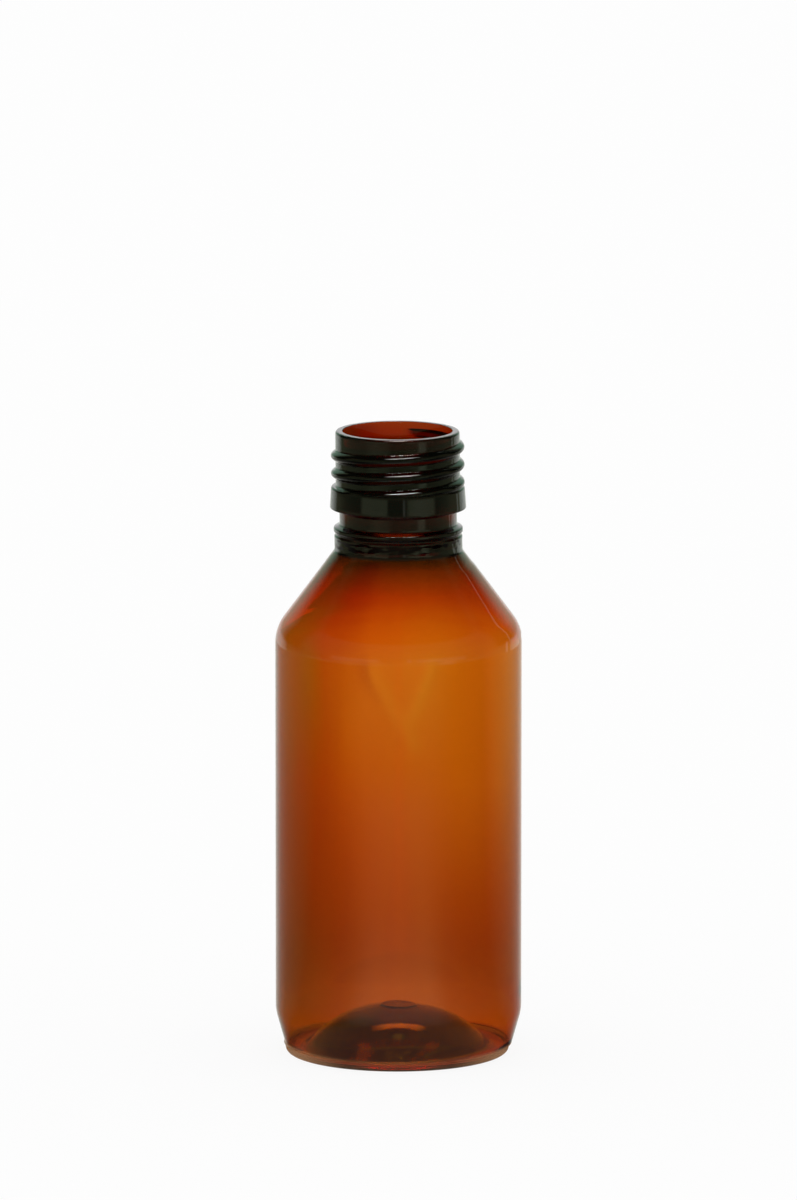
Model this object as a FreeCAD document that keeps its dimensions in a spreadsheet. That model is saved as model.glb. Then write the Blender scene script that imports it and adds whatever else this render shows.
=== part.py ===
import FreeCAD, Part
import math
import os

import Sketcher

# Amber bottle for syrup, blown in one piece from an injected preform.
# The neck finish keeps the form it had on the preform: rounded lip, coarse
# right-hand thread, locking bead, plain neck band and a thin support ring.
# Below it the wall is blown thin: conical shoulder, straight round body,
# tapered heel, and a foot pushed up in a round crown with the injection gate at
# its middle.
# Millimetres, +Z up, origin at the centre of the standing ring's plane.

SIZES = [
    ("overall_height", 116.7, "standing plane to the top of the lip"),
    ("body_diameter", 45.6, "outside of the straight body"),
    ("body_wall", 0.42, "blown wall of the body"),
    ("shoulder_angle", 36.6, "slope of the shoulder cone from the axis, degrees"),
    ("shoulder_radius", 8.0, "rounding between shoulder and body, outside"),
    ("shoulder_wall_top", 0.95, "wall of the shoulder where it leaves the neck"),
    ("shoulder_wall_low", 0.48, "wall of the shoulder where it meets the body"),
    ("shoulder_root_radius", 1.2, "hollow rounding under the neck root"),
    ("heel_height", 7.9, "where the body starts to draw in"),
    ("heel_inset", 1.75, "how far the heel draws in at the base parting line"),
    ("heel_radius", 9.0, "rounding between body and heel"),
    ("heel_wall", 0.65, "wall of the heel at its foot"),
    ("parting_height", 1.7, "height of the base insert's parting line"),
    ("parting_step", 0.12, "step in radius at the base parting line"),
    ("foot_inset", 0.38, "draft of the foot below the parting line"),
    ("foot_radius", 1.0, "rounding of the foot's outer edge"),
    ("foot_wall", 1.1, "thickness over the standing ring"),
    ("stand_width", 2.75, "width of the standing ring with its outer rounding"),
    ("push_up", 7.5, "rise of the foot's underside to the top of its crown"),
    ("push_up_wall", 1.55, "thickness of the pushed-up foot at its crown"),
    ("gate_diameter", 2.2, "stub left by the injection gate"),
    ("gate_length", 0.8, "length of the gate stub"),
    ("pad_diameter", 6.3, "flat pad inside, over the gate"),
    ("pad_draft", 0.25, "how much the pad widens to its foot, in radius"),
    ("pad_height", 0.3, "height of the pad's edge"),
    ("valley_bevel", 0.7, "bevel inside, between heel and foot"),
    ("finish_height", 22.3, "lip to the start of the shoulder cone"),
    ("root_diameter", 23.7, "neck root under the support ring"),
    ("ring_depth", 18.0, "lip to the top edge of the support ring"),
    ("ring_diameter", 23.9, "support ring"),
    ("ring_thickness", 0.7, "edge of the support ring"),
    ("ring_flank", 0.55, "height of the sloped top of the support ring"),
    ("pinch_depth", 0.3, "depth of the pinch under the support ring"),
    ("pinch_height", 0.9, "height of the pinch under the support ring"),
    ("band_diameter", 21.72, "plain neck band between bead and support ring"),
    ("bead_depth", 10.3, "lip to the top of the locking bead"),
    ("bead_height", 4.1, "height of the locking bead"),
    ("bead_top_diameter", 24.7, "locking bead at its top"),
    ("bead_low_diameter", 25.2, "locking bead at its lower edge"),
    ("bead_bevel", 0.4, "bevel of the bead's top edge"),
    ("wall_diameter", 23.0, "neck wall between the threads"),
    ("bore_diameter", 19.2, "mouth, straight down through the neck"),
    ("lip_outer_radius", 0.5, "outer rounding of the lip"),
    ("lead_in_width", 0.6, "how much the mouth widens to the lip, in radius"),
    ("lead_in_length", 4.0, "depth below the lip where the mouth starts to widen"),
    ("throat_bevel", 0.85, "bevel inside, where the bore opens into the shoulder"),
    ("thread_crest_diameter", 24.72, "outside of the thread"),
    ("thread_pitch", 3.3, "rise of one thread turn"),
    ("thread_width", 2.5, "width of the thread ridge at its root"),
    ("thread_crest_width", 0.7, "width of the thread ridge at its crest"),
    ("thread_bend_width", 1.6, "width of the thread ridge where its flanks bend"),
    ("thread_bend_drop", 0.3, "how far the flanks bend below the crest"),
    ("thread_root_depth", 0.25, "how deep the ridge is rooted in the wall"),
    ("thread_start_depth", 2.63, "lip to the middle of the thread's full start"),
    ("thread_start_angle", 40.0, "azimuth of the thread's full start, degrees"),
    ("thread_turns", 2.75, "turns of full thread, the last of them running into the bead"),
    ("thread_fade_turns", 0.12, "turns over which the thread's start rises from the wall"),
]

# How near a ring's radius and height must come to the place asked for.
NEAR = 1e-4

doc = FreeCAD.newDocument("bottle")
sheet = doc.addObject("Spreadsheet::Sheet", "Sizes")
for row, (alias, value, note) in enumerate(SIZES, start=1):
    sheet.set(f"A{row}", note)
    sheet.set(f"B{row}", str(value))
    sheet.setAlias(f"B{row}", alias)
doc.recompute()


def value_of(expression):
    """The number that an expression on the sheet's sizes gives now."""
    result = sheet.evalExpression(expression)
    return float(getattr(result, "Value", result))


# Heights and radii that follow from the sizes, as expressions on the sheet.
LIP_Z = "Sizes.overall_height"
BODY_R = "Sizes.body_diameter / 2"
BORE_R = "Sizes.bore_diameter / 2"
WALL_R = "Sizes.wall_diameter / 2"
BAND_R = "Sizes.band_diameter / 2"
ROOT_R = "Sizes.root_diameter / 2"
RING_R = "Sizes.ring_diameter / 2"
PINCH_R = f"({ROOT_R} - Sizes.pinch_depth)"
BEAD_TOP_R = "Sizes.bead_top_diameter / 2"
BEAD_LOW_R = "Sizes.bead_low_diameter / 2"
BEAD_TOP_Z = f"({LIP_Z} - Sizes.bead_depth)"
BEAD_LOW_Z = f"({BEAD_TOP_Z} - Sizes.bead_height)"
RING_TOP_Z = f"({LIP_Z} - Sizes.ring_depth)"
RING_LOW_Z = f"({RING_TOP_Z} - Sizes.ring_thickness)"
PINCH_Z = f"({RING_LOW_Z} - Sizes.pinch_height / 2)"
ROOT_TOP_Z = f"({RING_LOW_Z} - Sizes.pinch_height)"
SHOULDER_TOP_Z = f"({LIP_Z} - Sizes.finish_height)"
SHOULDER_SLOPE = "tan(Sizes.shoulder_angle)"
SHOULDER_LOW_Z = f"({SHOULDER_TOP_Z} - ({BODY_R} - {ROOT_R}) / {SHOULDER_SLOPE})"
SHOULDER_TRIM = "(Sizes.shoulder_radius * tan(Sizes.shoulder_angle / 2))"
HEEL_R = f"({BODY_R} - Sizes.heel_inset)"
HEEL_ANGLE = "atan(Sizes.heel_inset / (Sizes.heel_height - Sizes.parting_height))"
HEEL_TRIM = f"(Sizes.heel_radius * tan({HEEL_ANGLE} / 2))"
INSERT_R = f"({HEEL_R} - Sizes.parting_step)"
FOOT_R = f"({INSERT_R} - Sizes.foot_inset)"
FOOT_BEND = "(Sizes.foot_radius * (1 - cos(45)))"
FOOT_TOP_R = f"({FOOT_R} + Sizes.foot_inset * Sizes.foot_radius / Sizes.parting_height)"
STAND_INNER_R = f"({FOOT_R} - Sizes.stand_width)"
CROWN_R = f"(({STAND_INNER_R} ^ 2 + Sizes.push_up ^ 2) / (2 * Sizes.push_up))"
CROWN_ANGLE = f"(2 * atan(Sizes.push_up / {STAND_INNER_R}))"
GATE_R = "Sizes.gate_diameter / 2"
GATE_Z = "(Sizes.push_up - Sizes.gate_length)"
INNER_R = f"({BODY_R} - Sizes.body_wall)"
SLANT = "cos(Sizes.shoulder_angle)"
THROAT_Z = (
    f"({SHOULDER_TOP_Z} + ({ROOT_R} - {BORE_R} - Sizes.shoulder_wall_top / {SLANT})"
    f" / {SHOULDER_SLOPE})"
)
INNER_SHOULDER_Z = (
    f"({SHOULDER_LOW_Z} - (Sizes.shoulder_wall_low / {SLANT} - Sizes.body_wall)"
    f" / {SHOULDER_SLOPE})"
)
INNER_ANGLE = f"atan(({INNER_R} - {BORE_R}) / ({THROAT_Z} - {INNER_SHOULDER_Z}))"
INNER_RADIUS = "(Sizes.shoulder_radius - Sizes.body_wall)"
INNER_TRIM = f"({INNER_RADIUS} * tan({INNER_ANGLE} / 2))"
VALLEY_OUTER_R = f"({FOOT_R} - Sizes.heel_wall)"
VALLEY_INNER_R = f"({STAND_INNER_R} - Sizes.push_up_wall / 2)"
INNER_CROWN_Z = "(Sizes.push_up + Sizes.push_up_wall)"
INNER_RISE = f"({INNER_CROWN_Z} - Sizes.foot_wall)"
INNER_CROWN_R = f"(({VALLEY_INNER_R} ^ 2 + {INNER_RISE} ^ 2) / (2 * {INNER_RISE}))"
INNER_CROWN_ANGLE = f"(2 * atan({INNER_RISE} / {VALLEY_INNER_R}))"
PAD_R = "Sizes.pad_diameter / 2"
ABOVE_LIP_Z = f"({LIP_Z} + Sizes.lip_outer_radius)"
NECK_WALL = f"({WALL_R} - {BORE_R})"
LIP_ROUND = f"min(Sizes.lip_outer_radius; {NECK_WALL} * 0.4)"
LIP_BEND = f"({LIP_ROUND} * (1 - cos(45)))"
LEAD_IN_R = f"({BORE_R} + min(Sizes.lead_in_width; {NECK_WALL} * 0.32))"

body = doc.addObject("PartDesign::Body", "bottle")
body.Label = "bottle"


def origin_plane(role):
    """One of the bottle's own origin planes."""
    for feature in body.Origin.OriginFeatures:
        if feature.Role == role:
            return feature
    raise RuntimeError(f"no origin plane {role}")


def half_section(name, corners, turn="0"):
    """A closed sketch in a half plane through the axis, pinned to the sizes.

    Each corner is (radius, height), or (radius, height, arc) where the run to
    the next corner is an arc of that radius, bulging to the right of the run.
    """
    sketch = body.newObject("Sketcher::SketchObject", name)
    sketch.AttachmentSupport = (origin_plane("XZ_Plane"), [""])
    sketch.MapMode = "FlatFace"
    if turn != "0":
        about_axis = FreeCAD.Rotation(FreeCAD.Vector(0, 1, 0), value_of(turn))
        sketch.AttachmentOffset = FreeCAD.Placement(FreeCAD.Vector(), about_axis)
        sketch.setExpression("AttachmentOffset.Rotation.Angle", turn)
    places = [FreeCAD.Vector(value_of(c[0]), value_of(c[1]), 0) for c in corners]
    count = len(corners)
    for i, corner in enumerate(corners):
        start = places[i]
        end = places[(i + 1) % count]
        if len(corner) == 3:
            sketch.addGeometry(bulged_arc(start, end, value_of(corner[2])))
        else:
            sketch.addGeometry(Part.LineSegment(start, end))
    for i in range(count):
        sketch.addConstraint(Sketcher.Constraint("Coincident", i, 2, (i + 1) % count, 1))
    for i, corner in enumerate(corners):
        pin(sketch, "DistanceX", i, corner[0])
        pin(sketch, "DistanceY", i, corner[1])
        if len(corner) == 3:
            held = sketch.addConstraint(
                Sketcher.Constraint("Radius", i, value_of(corner[2]))
            )
            sketch.setExpression(f"Constraints[{held}]", corner[2])
    return sketch


def crown_place(radius, top, angle, share):
    """A corner on a crown's section, at a share of its half angle from the axis."""
    turned_by = f"({angle} * {share})"
    return f"{radius} * sin({turned_by})", f"{top} - {radius} * (1 - cos({turned_by}))"


def bulged_arc(start, end, radius):
    """The shorter arc of a radius between two points, to the right of the run."""
    chord = end.sub(start)
    left = FreeCAD.Vector(-chord.y, chord.x, 0).normalize()
    middle = start.add(end).multiply(0.5)
    centre = middle.add(left.multiply(math.sqrt(radius ** 2 - (chord.Length / 2) ** 2)))
    circle = Part.Circle(centre, FreeCAD.Vector(0, 0, 1), radius)
    return Part.ArcOfCircle(circle, bearing(centre, start), bearing(centre, end))


def bearing(centre, point):
    """Angle of a point about a centre, in radians."""
    return math.atan2(point.y - centre.y, point.x - centre.x)


def pin(sketch, kind, run, expression):
    """Hold one coordinate of a run's start at a size, or on the origin's axis."""
    if expression == "0":
        axis = -2 if kind == "DistanceX" else -1
        sketch.addConstraint(Sketcher.Constraint("PointOnObject", run, 1, axis))
        return
    held = sketch.addConstraint(
        Sketcher.Constraint(kind, -1, 1, run, 1, value_of(expression))
    )
    sketch.setExpression(f"Constraints[{held}]", expression)


def turned(kind, name, sketch):
    """A revolution or a groove of a half section, once round the axis."""
    feature = body.newObject(kind, name)
    feature.Profile = sketch
    feature.ReferenceAxis = (sketch, ["V_Axis"])
    feature.Angle = 360
    sketch.Visibility = False
    doc.recompute()
    return feature


def rings_of(shape, rings):
    """Names of the circular edges at the given (radius, height) places."""
    picked = []
    for ring_radius, ring_height in rings:
        wanted_r = value_of(ring_radius)
        wanted_z = value_of(ring_height)
        found = []
        for number, edge in enumerate(shape.Edges, start=1):
            curve = edge.Curve
            if not isinstance(curve, Part.Circle):
                continue
            if abs(curve.Radius - wanted_r) < NEAR and abs(curve.Center.z - wanted_z) < NEAR:
                found.append(f"Edge{number}")
        if not found:
            raise RuntimeError(f"no ring at {ring_radius}, {ring_height}")
        picked.extend(found)
    return picked


def rounded(name, radius, *rings):
    """A fillet on the rings at the given places."""
    base = body.Tip
    fillet = body.newObject("PartDesign::Fillet", name)
    fillet.Base = (base, rings_of(base.Shape, rings))
    fillet.setExpression("Radius", radius)
    doc.recompute()


def bevelled(name, size, *rings):
    """A chamfer on the rings at the given places."""
    base = body.Tip
    chamfer = body.newObject("PartDesign::Chamfer", name)
    chamfer.Base = (base, rings_of(base.Shape, rings))
    chamfer.setExpression("Size", size)
    doc.recompute()


# Outer form, as one section from the gate stub out and up to the lip.
outer = half_section("outer_profile", [
    ("0", GATE_Z),
    (GATE_R, GATE_Z),
    (GATE_R, "Sizes.push_up"),
    crown_place(CROWN_R, "Sizes.push_up", CROWN_ANGLE, 0.25),
    crown_place(CROWN_R, "Sizes.push_up", CROWN_ANGLE, 0.5),
    crown_place(CROWN_R, "Sizes.push_up", CROWN_ANGLE, 0.75),
    (STAND_INNER_R, "0"),
    (f"{FOOT_R} - Sizes.foot_radius", "0"),
    (f"{FOOT_R} - {FOOT_BEND}", FOOT_BEND),
    (FOOT_TOP_R, "Sizes.foot_radius"),
    (INSERT_R, "Sizes.parting_height"),
    (HEEL_R, "Sizes.parting_height"),
    (f"{BODY_R} - {HEEL_TRIM} * sin({HEEL_ANGLE})",
     f"Sizes.heel_height - {HEEL_TRIM} * cos({HEEL_ANGLE})", "Sizes.heel_radius"),
    (BODY_R, f"Sizes.heel_height + {HEEL_TRIM}"),
    (BODY_R, f"{SHOULDER_LOW_Z} - {SHOULDER_TRIM}", "Sizes.shoulder_radius"),
    (f"{BODY_R} - {SHOULDER_TRIM} * sin(Sizes.shoulder_angle)",
     f"{SHOULDER_LOW_Z} + {SHOULDER_TRIM} * {SLANT}"),
    (ROOT_R, SHOULDER_TOP_Z),
    (ROOT_R, ROOT_TOP_Z),
    (PINCH_R, PINCH_Z),
    (RING_R, RING_LOW_Z),
    (RING_R, RING_TOP_Z),
    (BAND_R, f"{RING_TOP_Z} + Sizes.ring_flank"),
    (BAND_R, BEAD_LOW_Z),
    (BEAD_LOW_R, BEAD_LOW_Z),
    (BEAD_TOP_R, BEAD_TOP_Z),
    (WALL_R, BEAD_TOP_Z),
    (WALL_R, f"{LIP_Z} - {LIP_ROUND}"),
    (f"{WALL_R} - {LIP_BEND}", f"{LIP_Z} - {LIP_BEND}"),
    (f"{WALL_R} - {LIP_ROUND}", LIP_Z),
    ("0", LIP_Z),
])
turned("PartDesign::Revolution", "outer_form", outer)

rounded("shoulder_root_rounding", "Sizes.shoulder_root_radius", (ROOT_R, SHOULDER_TOP_Z))
bevelled("bead_top_bevel", "Sizes.bead_bevel", (BEAD_TOP_R, BEAD_TOP_Z))

# Thread: a bevelled ridge that winds down clockwise, seen from above. Before its
# full start it rises out of the wall, and its last turn runs into the locking bead.
THREAD_Z = f"({LIP_Z} - Sizes.thread_start_depth)"
THREAD_ROOT_R = f"({WALL_R} - Sizes.thread_root_depth)"
THREAD_RISE = f"(Sizes.thread_crest_diameter / 2 - {THREAD_ROOT_R})"
THREAD_HALF = "(Sizes.thread_width / 2)"
CREST_HALF = "(Sizes.thread_crest_width / 2)"
BEND_HALF = "(Sizes.thread_bend_width / 2)"
FADE_Z = f"({THREAD_Z} + Sizes.thread_pitch * Sizes.thread_fade_turns)"
FADE_ANGLE = "(Sizes.thread_start_angle + 360 * Sizes.thread_fade_turns)"
FADE_GROWTH = f"{THREAD_RISE} / Sizes.thread_fade_turns"


def thread_run(name, turn, height, sunk, turns, growth):
    """One stretch of thread from a place on its helix, with its section.

    The section's ridge starts sunk into the wall by an amount, and moves
    outwards by the growth in each turn.
    """
    root = f"({THREAD_ROOT_R} - {sunk})"
    crest = f"({root} + {THREAD_RISE})"
    section = half_section(f"{name}_profile", [
        (root, f"{height} + {THREAD_HALF}"),
        (root, f"{height} - {THREAD_HALF}"),
        (f"{crest} - Sizes.thread_bend_drop", f"{height} - {BEND_HALF}"),
        (crest, f"{height} - {CREST_HALF}"),
        (crest, f"{height} + {CREST_HALF}"),
        (f"{crest} - Sizes.thread_bend_drop", f"{height} + {BEND_HALF}"),
    ], turn)
    run = body.newObject("PartDesign::AdditiveHelix", name)
    run.Profile = section
    run.ReferenceAxis = (section, ["V_Axis"])
    run.Mode = 3
    run.setExpression("Turns", turns)
    run.setExpression("Height", f"Sizes.thread_pitch * {turns}")
    run.setExpression("Growth", growth)
    run.LeftHanded = False
    run.Reversed = True
    section.Visibility = False
    doc.recompute()


thread_run("thread", "Sizes.thread_start_angle", THREAD_Z, "0", "Sizes.thread_turns", "0")
thread_run("thread_start", FADE_ANGLE, FADE_Z, THREAD_RISE, "Sizes.thread_fade_turns", FADE_GROWTH)

# Inside: bore, inner shoulder, body and the foot's inner face with its pad.
hollow = half_section("hollow_profile", [
    ("0", ABOVE_LIP_Z),
    ("0", INNER_CROWN_Z),
    (PAD_R, INNER_CROWN_Z),
    (f"{PAD_R} + Sizes.pad_draft", f"{INNER_CROWN_Z} - Sizes.pad_height"),
    crown_place(INNER_CROWN_R, INNER_CROWN_Z, INNER_CROWN_ANGLE, 0.3),
    crown_place(INNER_CROWN_R, INNER_CROWN_Z, INNER_CROWN_ANGLE, 0.55),
    crown_place(INNER_CROWN_R, INNER_CROWN_Z, INNER_CROWN_ANGLE, 0.78),
    (VALLEY_INNER_R, "Sizes.foot_wall"),
    (VALLEY_OUTER_R, "Sizes.foot_wall"),
    (INNER_R, "Sizes.heel_height"),
    (INNER_R, f"{INNER_SHOULDER_Z} - {INNER_TRIM}"),
    (f"{INNER_R} - {INNER_RADIUS} * (1 - cos({INNER_ANGLE} / 2))",
     f"{INNER_SHOULDER_Z} - {INNER_TRIM} + {INNER_RADIUS} * sin({INNER_ANGLE} / 2)"),
    (f"{INNER_R} - {INNER_TRIM} * sin({INNER_ANGLE})",
     f"{INNER_SHOULDER_Z} + {INNER_TRIM} * cos({INNER_ANGLE})"),
    (BORE_R, THROAT_Z),
    (BORE_R, f"{LIP_Z} - Sizes.lead_in_length"),
    (LEAD_IN_R, LIP_Z),
    (LEAD_IN_R, ABOVE_LIP_Z),
])
turned("PartDesign::Groove", "hollow", hollow)

bevelled("inner_heel_bevel", f"(Sizes.heel_radius - Sizes.body_wall) * tan({HEEL_ANGLE} / 2)",
         (INNER_R, "Sizes.heel_height"))
bevelled("valley_bevel", "Sizes.valley_bevel", (VALLEY_OUTER_R, "Sizes.foot_wall"))
bevelled("throat_bevel", "Sizes.throat_bevel", (BORE_R, THROAT_Z))

for item in doc.Objects:
    if "Invalid" in item.State or "Error" in item.State:
        raise RuntimeError(f"{item.Name}: {item.State}")

os.makedirs("parts", exist_ok=True)
for piece in [body]:
    shape = piece.Shape
    if shape.isNull() or not shape.isValid():
        raise RuntimeError(f"{piece.Label}: no valid shape")
    shape.exportStep(os.path.join("parts", f"{piece.Label}.step"))
    box = FreeCAD.BoundBox()
    for corner in shape.tessellate(0.05)[0]:
        box.add(corner)
    print(f"{piece.Label}: {len(shape.Solids)} solid, {shape.Volume / 1000:.3f} cm3,",
          f"box {box.XLength:.2f} x {box.YLength:.2f} x {box.ZLength:.2f} mm,",
          f"z {box.ZMin:.3f} to {box.ZMax:.3f}")
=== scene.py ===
# Amber bottle for syrup, blown from a preform, standing open on a pale table.
# One closed shell of clear amber plastic stands for the CAD body. Its outline is
# run up outside and down inside, spun round the axis, and the thread is raised on it.
# Lengths are given in millimetres and turned into metres where points are placed.
import math

import bpy
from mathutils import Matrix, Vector, noise


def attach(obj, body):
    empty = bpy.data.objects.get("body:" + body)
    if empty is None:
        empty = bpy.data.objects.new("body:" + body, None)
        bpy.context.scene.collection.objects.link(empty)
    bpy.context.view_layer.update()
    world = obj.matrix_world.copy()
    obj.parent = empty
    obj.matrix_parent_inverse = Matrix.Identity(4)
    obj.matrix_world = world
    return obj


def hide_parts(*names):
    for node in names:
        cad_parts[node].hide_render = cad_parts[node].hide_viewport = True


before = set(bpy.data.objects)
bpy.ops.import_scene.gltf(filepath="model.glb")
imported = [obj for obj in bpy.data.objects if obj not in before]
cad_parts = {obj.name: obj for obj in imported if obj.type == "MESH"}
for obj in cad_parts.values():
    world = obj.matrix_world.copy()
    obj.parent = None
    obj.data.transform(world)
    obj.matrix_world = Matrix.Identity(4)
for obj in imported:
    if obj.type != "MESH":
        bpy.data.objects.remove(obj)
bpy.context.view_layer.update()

MM = 0.001


def grey(level):
    """A neutral colour of the given level."""
    return (level, level, level, 1)


WHITE = grey(1.0)

# Sizes that the shell shares with the CAD body, in millimetres.
HEIGHT = 116.7
BODY_R = 22.8
WALL_R = 11.5
BORE_R = 9.6
BEAD_TOP_Z = 106.4
THREAD_CREST = 12.36
THREAD_PITCH = 3.3
THREAD_START_Z = HEIGHT - 2.63
THREAD_START = 40.0
THREAD_TURNS = 2.75
THREAD_FADE = 43.0
THREAD_HALF = 1.1
THREAD_TURN_RANGE = range(-1, 4)
PARTING_Z = 1.7
SHOULDER_TOP_Z = 94.4


class Socket:
    """A shader socket that takes part in sums, so that a pattern reads as a formula."""

    def __init__(self, tree, socket):
        self.tree = tree
        self.socket = socket

    def math(self, kind, *others):
        return self.tree.node("ShaderNodeMath", {n: v for n, v in enumerate((self, *others))},
                              operation=kind)

    def __add__(self, other):
        return self.math("ADD", other)

    def __sub__(self, other):
        return self.math("SUBTRACT", other)

    def __mul__(self, other):
        return self.math("MULTIPLY", other)

    def __truediv__(self, other):
        return self.math("DIVIDE", other)

    def __rsub__(self, other):
        return self.math("MULTIPLY", -1.0).math("ADD", other)

class Tree:
    """The nodes of a material or of the world, made and joined one by one."""

    def __init__(self, owner):
        owner.use_nodes = True
        self.tree = owner.node_tree
        self.tree.nodes.clear()

    def node(self, kind, inputs=None, output=0, **settings):
        """A node with its inputs joined or set, as a socket of the given output."""
        made = self.tree.nodes.new(kind)
        for name, value in settings.items():
            setattr(made, name, value)
        for key, value in (inputs or {}).items():
            if isinstance(value, Socket):
                self.tree.links.new(value.socket, made.inputs[key])
            else:
                made.inputs[key].default_value = value
        return Socket(self, made.outputs[output])

    def ramp(self, factor, stops):
        """A colour ramp through (place, colour) stops, straight between them."""
        made = self.node("ShaderNodeValToRGB", {"Fac": factor})
        elements = made.socket.node.color_ramp.elements
        while len(elements) < len(stops):
            elements.new(1.0)
        for element, (place, colour) in zip(elements, stops):
            element.position = place
            element.color = colour
        return made

    def blend(self, factor, low, high, kind="MIX"):
        """A colour between two, by a factor."""
        return self.node("ShaderNodeMix", {0: factor, 6: low, 7: high}, output=2,
                         data_type="RGBA", blend_type=kind)

    def fade(self, value, start, end, low=0.0, high=1.0):
        """From low to high while the value goes from start to end, straight between."""
        return self.node("ShaderNodeMapRange", {0: value, 1: start, 2: end, 3: low, 4: high})

    def outputs(self, kind, inputs, *names):
        """Several outputs of one node."""
        made = self.node(kind, inputs).socket.node
        return [Socket(self, made.outputs[name]) for name in names]

    def finish(self, kind, inputs):
        """The output node, which has no output of its own."""
        made = self.tree.nodes.new(kind)
        for name, value in inputs.items():
            self.tree.links.new(value.socket, made.inputs[name])


# Outline of the shell: corners as (radius, height, rounding, row spacing), from the
# middle of the foot's underside out and up to the lip, then down inside to the boss.
CORNERS = [
    (0.0, 6.7, 0.0, 0.5),
    (1.1, 6.7, 0.2, 0.5),
    (1.1, 7.5, 0.1, 0.8),
    (10.48, 7.5, 21.8, 0.8),
    (17.8, 0.0, 0.8, 1.0),
    (20.55, 0.0, 1.0, 1.0),
    (20.93, PARTING_Z, 0.04, 0.5),
    (21.05, PARTING_Z, 0.04, 1.0),
    (BODY_R, 7.9, 9.0, 1.5),
    (BODY_R, 79.66, 8.0, 0.8),
    (11.85, SHOULDER_TOP_Z, 1.2, 0.4),
    (11.85, 97.1, 0.2, 0.4),
    (11.55, 97.55, 0.3, 0.4),
    (11.95, 98.0, 0.12, 0.4),
    (11.95, 98.7, 0.35, 0.4),
    (10.86, 99.25, 0.3, 0.6),
    (10.86, 102.3, 0.25, 0.6),
    (12.6, 102.3, 0.2, 0.6),
    (12.35, BEAD_TOP_Z, 0.5, 0.3),
    (WALL_R, BEAD_TOP_Z, 0.35, 0.12),
    (WALL_R, HEIGHT, 0.5, 0.3),
    (BORE_R + 0.6, HEIGHT, 0.15, 0.8),
    (BORE_R, HEIGHT - 4.0, 4.0, 1.0),
    (BORE_R, 95.84, 2.5, 0.8),
    (22.38, 79.42, 7.58, 1.5),
    (22.38, 60.0, 60.0, 1.5),
    (22.3, 25.0, 60.0, 1.5),
    (22.32, 7.9, 8.58, 0.8),
    (20.3, 0.95, 0.9, 0.8),
    (17.03, 1.1, 1.2, 1.0),
    (11.67, 7.5, 20.0, 0.8),
    (3.4, 8.78, 0.15, 0.4),
    (3.15, 9.05, 0.12, 0.6),
    (0.0, 9.05, 0.0, 1.0),
]
ROUNDING_STEP = math.radians(13.0)
WIDE_ROUNDING = 5.0
WIDE_STEPS = 8
COLUMNS = 192


def rounded_corner(before, corner, after):
    """Points on the arc that rounds a corner, from one tangent point to the other."""
    here = Vector(corner[:2])
    back = (Vector(before[:2]) - here).normalized()
    on = (Vector(after[:2]) - here).normalized()
    half_turn = (math.pi - back.angle(on)) / 2
    trim = corner[2] * math.tan(half_turn)
    inward = (back + on).normalized()
    centre = here + inward * (corner[2] / math.cos(half_turn))
    start = here + back * trim - centre
    steps = max(2, math.ceil(2 * half_turn / ROUNDING_STEP))
    if corner[2] > WIDE_ROUNDING:
        steps = max(WIDE_STEPS, steps)
    turn = 2 * half_turn * (1 if back.x * on.y - back.y * on.x < 0 else -1)
    points = []
    for i in range(steps + 1):
        angle = turn * i / steps
        swung = Vector((start.x * math.cos(angle) - start.y * math.sin(angle),
                        start.x * math.sin(angle) + start.y * math.cos(angle)))
        points.append(centre + swung)
    return points


def outline_points(corners):
    """The whole outline with its roundings and with rows along the straight runs."""
    points = [Vector(corners[0][:2])]
    for i in range(1, len(corners)):
        if i < len(corners) - 1:
            arc = rounded_corner(corners[i - 1], corners[i], corners[i + 1])
        else:
            arc = [Vector(corners[i][:2])]
        run = arc[0] - points[-1]
        rows = max(1, math.ceil(run.length / corners[i - 1][3]))
        start = points[-1]
        for row in range(1, rows):
            points.append(start + run * row / rows)
        points.extend(arc)
    return points


def spun_shell(name, points):
    """A closed mesh: the outline extruded point by point, then spun once round."""
    bpy.ops.object.select_all(action="DESELECT")
    bpy.ops.mesh.primitive_plane_add(size=MM)
    shell = bpy.context.object
    shell.name = name
    bpy.ops.object.mode_set(mode="EDIT")
    bpy.ops.mesh.select_all(action="SELECT")
    bpy.ops.mesh.merge(type="CENTER")
    first = points[0]
    bpy.ops.transform.translate(value=(first.x * MM, 0, first.y * MM))
    for before, point in zip(points, points[1:]):
        step = (point - before) * MM
        bpy.ops.mesh.extrude_region_move(TRANSFORM_OT_translate={"value": (step.x, 0, step.y)})
    bpy.ops.mesh.select_all(action="SELECT")
    bpy.ops.mesh.spin(steps=COLUMNS, angle=math.tau, center=(0, 0, 0), axis=(0, 0, 1))
    bpy.ops.mesh.select_all(action="SELECT")
    bpy.ops.mesh.remove_doubles(threshold=0.002 * MM)
    bpy.ops.mesh.normals_make_consistent(inside=False)
    bpy.ops.object.mode_set(mode="OBJECT")
    bpy.ops.object.shade_smooth()
    return shell


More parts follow.
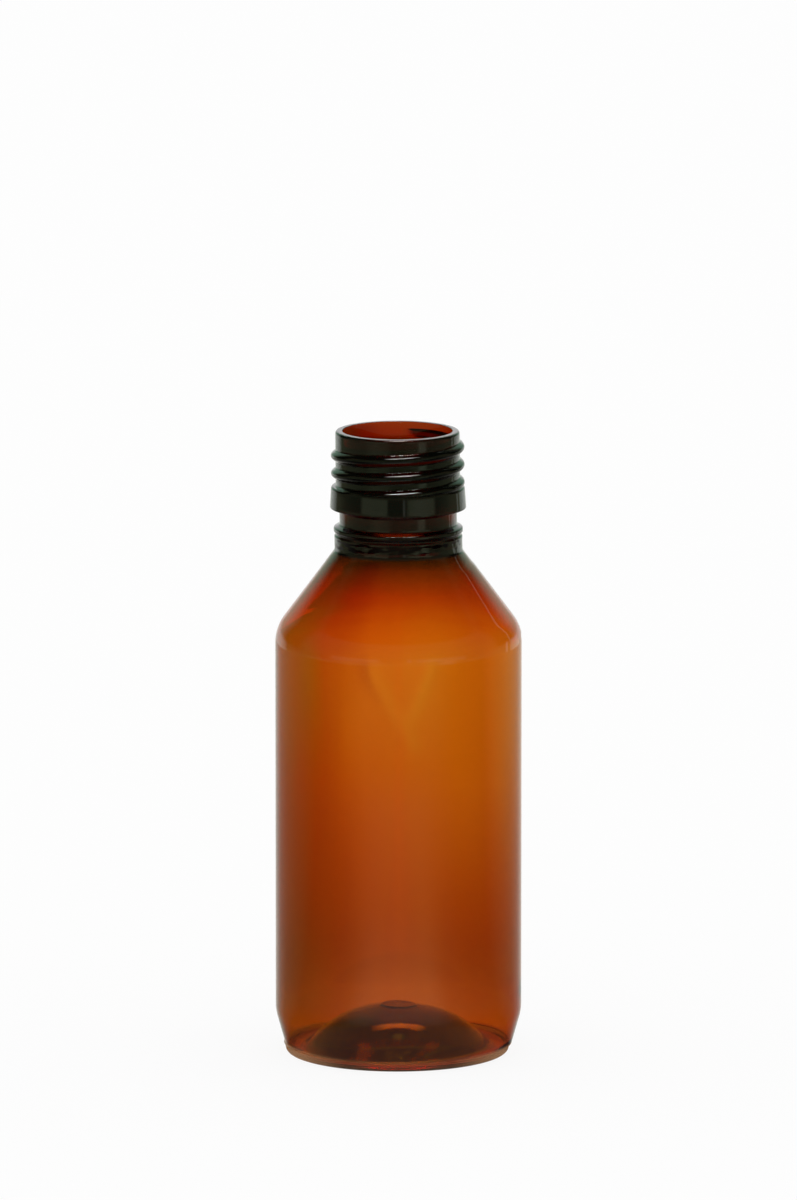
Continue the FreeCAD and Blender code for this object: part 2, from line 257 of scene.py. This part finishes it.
def thread_rise(azimuth, height):
    """How far the thread stands out of the wall at a place, in millimetres."""
    rise = 0.0
    first = (THREAD_START - azimuth) % 360.0
    for turn in THREAD_TURN_RANGE:
        along = first + 360.0 * turn
        strength = min(1.0, (along + THREAD_FADE) / THREAD_FADE)
        if strength <= 0.0 or along > 360.0 * THREAD_TURNS:
            continue
        # The ridge is narrower and lower where it runs out.
        half = THREAD_HALF * (0.7 + 0.3 * strength)
        strength = min(1.0, 2.2 * strength)
        strength = strength * (2 - strength)
        across = abs(height - THREAD_START_Z + THREAD_PITCH * along / 360.0) / half
        if across < 1.0:
            ridge = (1.0 - across ** 2.2) ** 1.3
            rise = max(rise, (THREAD_CREST - WALL_R) * strength * ridge)
    return rise


# The bottle: the spun outline, with the thread raised on the neck wall. The blown
# wall then gets the slight unevenness of its inside, and the mould's small offsets.
WAVE_BASE = 12.0
WAVE_TOP = 92.0
WAVE_MIN_R = 12.0
WAVE_INSET = 0.03
THIN_SIDE_FROM = 0.72
THIN_SIDE_DEPTH = 0.16
# Ends of two faint streaks inside the front wall, as (x, height), where it is thinner.
STREAKS = [((-5.0, 75.0), (2.4, 62.0)), ((5.6, 75.7), (2.2, 67.5))]
STREAK_DEPTH = 0.06
STREAK_HALF = 1.5
STREAK_REACH = 6.0
STREAK_FADE = 2.0
RIPPLE_LOW, RIPPLE_HIGH, RIPPLE_MIN_R, RIPPLE_DEPTH = 94.7, 96.9, 11.7, 0.11
FOOT_SHIFT = 0.22
FOOT_PLUG_R = 3.5
NECK_LEAN = 0.2


def streak_depth(x, z):
    """How much thinner the front wall is at a place, by the two streaks in it."""
    depth = 0.0
    for top, foot in STREAKS:
        part = min(1.0, max(0.0, (top[1] - z) / (top[1] - foot[1])))
        aside = x - top[0] - (foot[0] - top[0]) * part
        past = max(0.0, z - top[1], foot[1] - z)
        if abs(aside) < STREAK_REACH:
            depth += STREAK_DEPTH * math.exp(-(aside / STREAK_HALF) ** 2
                                             - (past / STREAK_FADE) ** 2)
    return depth


def uneven_radius(x, y, z, radius):
    """Radius of a blown wall point, with slow and fine waves and a thinner right side."""
    swell = noise.noise(Vector((x / 14.0, y / 14.0, z / 30.0)))
    fine = noise.noise(Vector((x / 5.0, y / 5.0, z / 16.0 + 7.0)))
    to_right = max(0.0, (x / radius - THIN_SIDE_FROM) / (1.0 - THIN_SIDE_FROM))
    grown = radius - WAVE_INSET + 0.05 * swell + 0.012 * fine + THIN_SIDE_DEPTH * to_right
    return grown + (streak_depth(x, z) if y < 0 else 0.0)


shell = spun_shell("bottle_shell", outline_points(CORNERS))
for vertex in shell.data.vertices:
    x, y, z = vertex.co / MM
    radius = math.hypot(x, y)
    if radius < 0.01:
        continue
    grown = radius
    if BEAD_TOP_Z - 0.05 < z < HEIGHT - 0.55 and radius > WALL_R - 0.05:
        azimuth = math.degrees(math.atan2(y, x))
        grown = max(radius, WALL_R + thread_rise(azimuth, z))
    if WAVE_BASE < z < WAVE_TOP and WAVE_MIN_R < radius <= BODY_R - 0.2:
        grown = uneven_radius(x, y, z, radius)
    if RIPPLE_LOW < z < RIPPLE_HIGH and radius > RIPPLE_MIN_R:
        ripple = noise.noise(Vector((x / 1.8, y / 1.8, z / 1.1)))
        grown = radius - RIPPLE_DEPTH * abs(ripple)
    x *= grown / radius
    y *= grown / radius
    if z < PARTING_Z + 0.01 and radius > FOOT_PLUG_R:
        x -= FOOT_SHIFT
    if z > SHOULDER_TOP_Z:
        x -= NECK_LEAN * (z - SHOULDER_TOP_Z) / (HEIGHT - SHOULDER_TOP_Z)
    vertex.co = Vector((x, y, z)) * MM
shell.data.update()
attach(shell, "root")
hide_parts("bottle")


# Clear amber plastic. The volume takes most blue and green out of the light, and the
# tint darkens where the wall stays thick: all round the neck, and in the foot's crown.
# The tint also carries painted shade: the body is darker from the shoulder down to above
# the heel, and the crown darker still, like the shadowed table seen through them.
amber = bpy.data.materials.new("amber_pet")
tree = Tree(amber)
place = tree.node("ShaderNodeTexCoord", output="Object")
height = tree.node("ShaderNodeSeparateXYZ", {0: place}, output="Z") / (HEIGHT * MM)
# Tint by height: dark round the neck, where the wall is thick, and painted shade that makes the
# body darker from the shoulder down to above the heel.
TINT_AND_SHADE = [
    (0.00, (0.50, 0.90, 0.85, 1)),
    (0.015, (0.95, 1.00, 0.92, 1)),
    (0.06, (0.95, 1.00, 0.92, 1)),
    (0.10, (0.80, 0.82, 0.80, 1)),
    (0.13, (0.78, 0.78, 0.78, 1)),
    (0.25, (0.84, 0.80, 0.80, 1)),
    (0.60, (0.94, 0.96, 0.96, 1)),
    (0.70, (1.00, 1.00, 1.00, 1)),
    (0.755, (0.80, 0.86, 0.80, 1)),
    (0.782, (0.50, 0.95, 0.80, 1)),
    (0.790, (0.42, 0.90, 0.80, 1)),
    (0.801, (0.20, 0.60, 0.60, 1)),
    (0.809, (0.20, 0.55, 0.55, 1)),
    (0.817, (0.25, 0.50, 0.50, 1)),
    (0.824, (0.06, 0.12, 0.09, 1)),
    (0.848, (0.06, 0.12, 0.09, 1)),
    (0.8515, (0.06, 0.12, 0.09, 1)),
    (0.858, (0.18, 0.26, 0.22, 1)),
    (0.866, (0.36, 0.42, 0.34, 1)),
    (0.872, (0.36, 0.42, 0.34, 1)),
    (0.89, (0.028, 0.24, 0.20, 1)),
    (0.966, (0.028, 0.24, 0.20, 1)),
    (0.979, (0.46, 0.50, 0.38, 1)),
    (1.00, (0.46, 0.50, 0.38, 1)),
]
tint_and_shade_by_height = tree.ramp(height, TINT_AND_SHADE)
flat_place = tree.node("ShaderNodeVectorMath", {0: place, 1: (1.0, 1.0, 0.0)},
                       operation="MULTIPLY")
off_axis = tree.node("ShaderNodeVectorMath", {0: flat_place}, output="Value",
                     operation="LENGTH")
in_crown = tree.fade(off_axis, 19 * MM, 16 * MM)
in_foot = tree.fade(height, 0.083, 0.079)
# The crown's colour is partly its thick plastic and partly painted shade, like the shadowed table
# under the foot seen through it.
crown_tint_and_shade = tree.ramp(off_axis / (20 * MM), [
    (0.25, (0.34, 0.50, 0.46, 1)), (0.55, (0.08, 0.30, 0.32, 1)),
])
tint_and_shade = tree.blend(in_crown * in_foot, tint_and_shade_by_height, crown_tint_and_shade)
on_thread = tree.fade(off_axis, 11.7 * MM, 12 * MM)
on_neck = tree.fade(height, 0.935, 0.940)
tint_and_shade = tree.blend(on_thread * on_neck, tint_and_shade, (0.05, 0.07, 0.05, 1))
skin = tree.node("ShaderNodeBsdfPrincipled", {
    "Base Color": tint_and_shade,
    "Roughness": 0.02,
    "IOR": 1.575,
    "Transmission Weight": 1.0,
})
depth = tree.node("ShaderNodeVolumeAbsorption", {
    "Color": (0.936, 0.66, 0.0, 1.0),
    "Density": 6600.0,
})
# The edge that it stands on is scuffed and scatters some light all round. The scatter is
# made stronger at the left and right sides as painted light, like light from the table
# through the rim.
scuff_and_painted_light = tree.node("ShaderNodeBsdfDiffuse", {"Color": (0.62, 0.30, 0.14, 1)})
at_foot = tree.fade(height, 0.020, 0.014)
at_rim = tree.fade(off_axis, 19.9 * MM, 20.3 * MM)
aside = tree.node("ShaderNodeSeparateXYZ", {0: place}, output="X").math("ABSOLUTE")
scuff_and_light_at_sides = tree.fade(aside, 10 * MM, 18 * MM, 0.08, 0.38)
surface = tree.node("ShaderNodeMixShader", {0: at_foot * scuff_and_light_at_sides * at_rim, 1: skin, 2: scuff_and_painted_light})
tree.finish("ShaderNodeOutputMaterial", {"Surface": surface, "Volume": depth})
shell.data.materials.clear()
shell.data.materials.append(amber)


# Table: a pale disc as bright as the white all round it, so its rim isn't seen. It
# takes the bottle's soft shadow. Shiny things mirror it as a dim sheet with painted shade,
# and the bottle shows it through its wall as a sheet painted less bright to the sides.
TABLE_R = 900.0
TABLE_WHITE = 0.985
LIT_SHARE = 0.10
bpy.ops.object.select_all(action="DESELECT")
bpy.ops.mesh.primitive_circle_add(vertices=96, radius=TABLE_R * MM, fill_type="NGON")
table = bpy.context.object
table.name = "table"
paper = bpy.data.materials.new("table_white")
tree = Tree(paper)
lit = TABLE_WHITE * LIT_SHARE
shaded = tree.node("ShaderNodeBsdfDiffuse", {"Color": grey(lit)})
bright = tree.node("ShaderNodeEmission", {"Color": grey(TABLE_WHITE - lit), "Strength": 1.0})
sheet = tree.node("ShaderNodeAddShader", {0: shaded, 1: bright})
spot = tree.node("ShaderNodeTexCoord", output="Object")
across, along = tree.outputs("ShaderNodeSeparateXYZ", {0: spot}, "X", "Y")
from_axis = tree.node("ShaderNodeVectorMath", {0: spot}, output="Value", operation="LENGTH")
# 0 in front of the bottle and 1 behind it, by the way that its sides face.
clear = (across.math("ABSOLUTE") - 20 * MM).math("MAXIMUM", 0.0)
bearing = clear.math("ARCTAN2", along * -1.0) / math.pi
# What shiny things mirror: the sheet with painted shade, dim in front of the bottle and lighter
# behind it.
mid_sheet = tree.ramp(bearing, [
    (0.00, (0.070, 0.075, 0.055, 1)), (0.15, (0.070, 0.075, 0.055, 1)),
    (0.28, grey(0.01)), (0.45, grey(0.01)), (0.55, (0.08, 0.08, 0.07, 1)),
    (0.60, (0.11, 0.11, 0.09, 1)), (0.70, (0.19, 0.19, 0.165, 1)),
    (0.80, (0.31, 0.31, 0.28, 1)), (0.88, (0.60, 0.60, 0.55, 1)), (1.00, (0.88, 0.88, 0.82, 1)),
])
close_sheet = tree.ramp(bearing, [
    (0.00, (0.38, 0.38, 0.33, 1)), (0.09, (0.36, 0.36, 0.31, 1)), (0.17, (0.17, 0.17, 0.14, 1)),
    (0.30, (0.10, 0.10, 0.08, 1)), (0.50, (0.06, 0.06, 0.05, 1)), (0.70, (0.17, 0.17, 0.14, 1)),
    (0.80, (0.35, 0.35, 0.31, 1)), (0.88, (0.60, 0.60, 0.55, 1)), (1.00, (0.88, 0.88, 0.82, 1)),
])
closeness = tree.ramp(from_axis, [
    (0.083, WHITE), (0.12, grey(0.60)), (0.18, grey(0.28)), (0.28, grey(0.25)), (0.33, grey(0.0)),
])
# Painted shadow in the mirrored sheet, close before the bottle.
shade = tree.fade(from_axis, 55 * MM, 75 * MM, 0.55, 0.0)
before_it = tree.fade(bearing, 0.50, 0.75, 1.0, 0.0)
dim_sheet = tree.node("ShaderNodeEmission", {
    "Color": tree.blend(closeness, mid_sheet, close_sheet),
    "Strength": 1.0 - shade * before_it,
})
# Half a metre off and farther, shiny things mirror the room through it.
far_off = tree.fade(from_axis, 500 * MM, 530 * MM)
gone = tree.node("ShaderNodeBsdfTransparent")
mirrored = tree.node("ShaderNodeMixShader", {0: far_off, 1: dim_sheet, 2: gone})
# Seen through the bottle, the sheet is painted less bright to the sides, with a painted shadow
# underneath.
sideways = across / (130 * MM) + 0.5
sides_near = tree.ramp(sideways, [
    (0.24, (0.48, 1.20, 1.20, 1)), (0.30, (0.43, 0.85, 0.85, 1)), (0.34, (0.46, 0.53, 0.53, 1)),
    (0.41, (0.60, 0.45, 0.45, 1)), (0.47, (0.80, 0.75, 0.75, 1)), (0.54, (0.81, 0.85, 0.85, 1)),
    (0.58, (0.71, 0.62, 0.62, 1)), (0.62, (0.67, 0.58, 0.58, 1)), (0.70, (0.68, 0.80, 0.80, 1)),
])
sides_far = tree.ramp(sideways, [
    (0.10, (0.46, 0.95, 0.95, 1)), (0.26, (0.55, 0.68, 0.68, 1)), (0.34, (0.69, 0.46, 0.46, 1)),
    (0.385, (0.77, 0.56, 0.56, 1)), (0.44, (0.95, 0.88, 0.88, 1)), (0.50, (0.98, 0.97, 0.97, 1)),
    (0.61, (0.95, 1.12, 1.12, 1)), (0.68, (0.88, 1.05, 1.05, 1)), (0.95, (0.93, 1.20, 1.20, 1)),
])
behind_far = tree.fade(along, 100 * MM, 260 * MM)
painted_shadow_under = tree.ramp(from_axis / (60 * MM), [
    (0.22, grey(0.05)), (0.28, grey(0.60)), (0.31, WHITE),
])
sides = tree.blend(behind_far, sides_near, sides_far)
sheet_behind = tree.node("ShaderNodeEmission", {
    "Color": tree.blend(1.0, sides, painted_shadow_under, "MULTIPLY"),
    "Strength": 1.0,
})
glossy, through = tree.outputs("ShaderNodeLightPath", {},
                               "Is Glossy Ray", "Is Transmission Ray")
shown = tree.node("ShaderNodeMixShader", {0: glossy, 1: sheet, 2: mirrored})
shown = tree.node("ShaderNodeMixShader", {0: through, 1: shown, 2: sheet_behind})
tree.finish("ShaderNodeOutputMaterial", {"Surface": shown})
table.data.materials.append(paper)


# Studio: even white light and a white backdrop. Only reflections show the dim room in
# front, with its pale panels and a strip lamp overhead. Only what is seen through the
# bottle shows its dimmer sides and a second strip lamp behind.
world = bpy.data.worlds.new("studio")
bpy.context.scene.world = world
tree = Tree(world)
way = tree.node("ShaderNodeTexCoord", output="Generated")
east, north, up = tree.outputs("ShaderNodeSeparateXYZ", {0: way}, "X", "Y", "Z")
# 0 at the left-hand back, 0.5 towards the viewer and 1 at the right-hand back.
round_about = east.math("ARCTAN2", north * -1.0) / math.tau + 0.5


def at(degrees):
    """Ramp place of a direction, in degrees to the right of the viewer's own."""
    return 0.5 + degrees / 360.0


DIM = (0.13, 0.14, 0.08, 1)
DARK = (0.08, 0.10, 0.06, 1)
PANEL = (0.31, 0.36, 0.22, 1)
BRIGHT_PANEL = (0.38, 0.43, 0.28, 1)
GLINT = (0.40, 0.43, 0.34, 1)
SHEET = (0.80, 0.85, 0.78, 1)
SHEET_EDGE = (0.55, 0.60, 0.50, 1)
GREY = (0.17, 0.19, 0.11, 1)
BLACK = (0.02, 0.025, 0.015, 1)
RIM = [
    (at(119), GREY), (at(121), SHEET_EDGE), (at(123), SHEET_EDGE), (at(125), GREY),
    (at(127), GREY), (at(131), SHEET_EDGE), (at(145), SHEET),
]
level_room = tree.ramp(round_about, [
    (at(-145), SHEET), (at(-134), SHEET_EDGE), (at(-128), DIM), (at(-68), DARK),
    (at(-62), PANEL), (at(-20), PANEL), (at(-16), DARK), (at(7.5), DARK), (at(9.5), GLINT),
    (at(10.5), GLINT), (at(13), DARK), (at(19), PANEL), (at(35), BRIGHT_PANEL),
    (at(62), PANEL), (at(68), DARK), (at(100), GREY),
] + RIM)
low_room = tree.ramp(round_about, [
    (at(-145), SHEET), (at(-134), SHEET_EDGE), (at(-127), GREY), (at(-62), GREY),
    (at(-45), (0.25, 0.28, 0.16, 1)), (at(-20), (0.20, 0.22, 0.13, 1)), (at(-10), DIM),
    (at(5), DIM), (at(36), GREY), (at(42), BRIGHT_PANEL), (at(51), BRIGHT_PANEL),
    (at(58), DIM), (at(100), GREY),
] + RIM)
front_room = tree.ramp(round_about, [
    (at(-110), BLACK), (at(-98), DIM), (at(98), DIM), (at(110), BLACK),
])
high_room = tree.ramp(round_about, [
    (at(-170), WHITE), (at(-160), (0.40, 0.60, 0.45, 1)), (at(-152), (0.36, 0.58, 0.44, 1)),
    (at(-144), (0.26, 0.42, 0.30, 1)), (at(-138), GREY), (at(-132), BLACK),
    (at(127), BLACK), (at(128), SHEET_EDGE), (at(129), BLACK), (at(132), BLACK),
    (at(138), GREY), (at(144), (0.26, 0.42, 0.30, 1)), (at(152), (0.36, 0.58, 0.44, 1)),
    (at(160), (0.40, 0.60, 0.45, 1)), (at(170), WHITE),
])
above_table = tree.fade(up, -0.12, -0.10)
above_level = tree.fade(up, -0.02, 0.05)
under_cone = tree.fade(up, 0.60, 0.68, 1.0, 0.0)


def strip(centre, half_depth, middle, half_width, bow):
    """1 in a strip of the sky, by its place along north and east, fading at its rim."""
    deep = (north - centre - east * east * bow).math("ABSOLUTE") / half_depth
    wide = (east - middle).math("ABSOLUTE") / half_width
    inside = (1.0 - deep) * 3.0
    across = (1.0 - wide) * 2.0
    lit = inside.math("MINIMUM", 1.0).math("MAXIMUM", 0.0)
    return lit * across.math("MINIMUM", 1.0).math("MAXIMUM", 0.0)


# Two strip lamps overhead, one before the bottle and one behind it, dim at their ends.
LAMP_BEFORE = grey(16.0)
LAMP_BEHIND = grey(9.0)
overhead = up.math("GREATER_THAN", 0.5)
before = strip(-0.34, 0.07, 0.05, 0.36, 0.75) * overhead
behind = strip(0.41, 0.09, 0.0, 0.30, 0.0) * overhead
seen_shiny = tree.blend(above_table, low_room, level_room)
lightened = tree.blend(1.0, high_room, front_room, "LIGHTEN")
high_room = tree.blend(under_cone, high_room, lightened)
seen_shiny = tree.blend(above_level, seen_shiny, high_room)
seen_shiny = tree.blend(before, seen_shiny, LAMP_BEFORE)
FRONT = grey(0.25)
seen_through = tree.ramp(round_about, [
    (at(-170), WHITE), (at(-155), (0.35, 0.60, 0.60, 1)), (at(-122), (0.30, 0.60, 0.60, 1)),
    (at(-112), FRONT), (at(112), FRONT), (at(122), (0.60, 0.80, 0.80, 1)),
    (at(155), (0.70, 0.90, 0.90, 1)), (at(170), WHITE),
])
seen_through = tree.blend(behind, seen_through, LAMP_BEHIND)
glossy, through, camera_ray = tree.outputs("ShaderNodeLightPath", {}, "Is Glossy Ray",
                                           "Is Transmission Ray", "Is Camera Ray")
shown = tree.blend(glossy, WHITE, seen_shiny)
shown = tree.blend(through, shown, seen_through)
shown = tree.blend(camera_ray, shown, grey(TABLE_WHITE))
sky = tree.node("ShaderNodeBackground", {"Color": shown, "Strength": 1.0})
tree.finish("ShaderNodeOutputWorld", {"Surface": sky})


# Camera: a long lens three metres off and about ten degrees above the bottle, set so
# that the bottle stands as it does in the photograph.
FRAME_W = 797
FOCAL_PIXELS = 16200
SENSOR = 36.0
DISTANCE = 3000.0
RISE = math.radians(10.6)
LOOK_Z = 58.0
AIM_Z = 84.9
bpy.ops.object.camera_add()
camera = bpy.context.object
camera.name = "camera"
camera.data.sensor_fit = "HORIZONTAL"
camera.data.sensor_width = SENSOR
camera.data.lens = SENSOR * FOCAL_PIXELS / FRAME_W
camera.data.clip_end = 20.0
camera.location = Vector((0, -DISTANCE * math.cos(RISE), LOOK_Z + DISTANCE * math.sin(RISE))) * MM
aim = Vector((0, 0, AIM_Z)) * MM - camera.location
camera.rotation_euler = aim.to_track_quat("-Z", "Y").to_euler()
bpy.context.scene.camera = camera
bpy.context.scene.view_settings.view_transform = "Standard"
